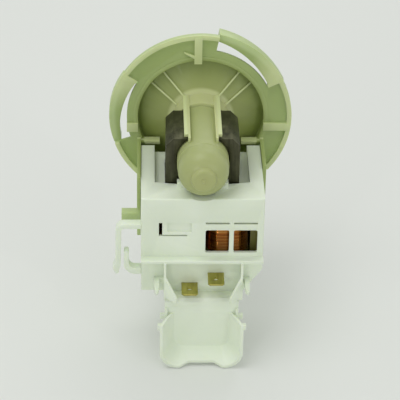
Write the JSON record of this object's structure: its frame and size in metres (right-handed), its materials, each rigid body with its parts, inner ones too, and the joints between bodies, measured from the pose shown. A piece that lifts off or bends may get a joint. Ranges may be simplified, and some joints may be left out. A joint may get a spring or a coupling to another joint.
{
  "type": "dishwasher drain pump",
  "caption": "Appliance drain pump: bayonet flange with closed rotor can, laminated core, coil housing with spade tabs and hinged cover, and a bladed impeller on the wet side.",
  "frame": {"origin": "centre of the bayonet flange on the rotor axis, at the sump side of the hub that the bearing carrier sits on", "axes": "+Y along the rotor axis into the sump, +Z from the coil housing up to the rotor can, +X to the right seen from the motor side"},
  "size_m": [0.0723, 0.0803, 0.1151],
  "materials": {
    "natural_plastic": "satin, slightly translucent",
    "white_plastic": "satin",
    "bobbin_plastic": "matte",
    "core_steel": "stamped sheets, side on",
    "copper": "enamelled wire",
    "tab_brass": "stamped",
    "seal_rubber": "matte",
    "bush_ceramic": "ground",
    "magnet_ferrite": "ground, sintered",
    "rotor_plastic": "matte",
    "impeller_plastic": "satin",
    "shaft_steel": "ground"
  },
  "bodies": {
    "stator": {"bayonet_flange": "natural_plastic", "terminal_shroud": "white_plastic", "wire_clip": "white_plastic", "flange_seal": "seal_rubber", "stator_core": "core_steel", "bobbin_left": "bobbin_plastic", "bobbin_right": "bobbin_plastic", "coil_left": "copper", "coil_right": "copper", "coil_housing": "white_plastic", "bottom_cover": "white_plastic", "terminal_left": "tab_brass", "terminal_right": "tab_brass", "rear_bush": "bush_ceramic", "rear_cushion": "seal_rubber", "front_bush": "bush_ceramic", "front_cushion": "seal_rubber", "bearing_carrier": "natural_plastic", "carrier_seal": "seal_rubber", "lip_seal": "seal_rubber"},
    "rotor": {"rotor_magnet": "magnet_ferrite", "rotor_core": "rotor_plastic", "rotor_shaft": "shaft_steel", "rear_washer": "shaft_steel", "front_washer": "shaft_steel", "drive_dog": "rotor_plastic", "shaft_clip": "shaft_steel"},
    "impeller": {"impeller": "impeller_plastic", "hub_lid": "impeller_plastic", "stop_buffers": "seal_rubber"},
    "cover": {"terminal_cover": "white_plastic"}
  },
  "joints": [
    {"name": "rotor_spin", "type": "hinge", "parent": "stator", "child": "rotor", "pos_m": [0, 0, 0], "axis": [0, 1, 0], "continuous": true},
    {"name": "impeller_play", "type": "hinge", "parent": "rotor", "child": "impeller", "pos_m": [0, 0, 0], "axis": [0, 1, 0], "range_deg": [-2, 256]},
    {"name": "cover_hinge", "type": "hinge", "parent": "stator", "child": "cover", "pos_m": [0, -0.0523, -0.0524], "axis": [-1, 0, 0], "range_deg": [0, 84]}
  ]
}
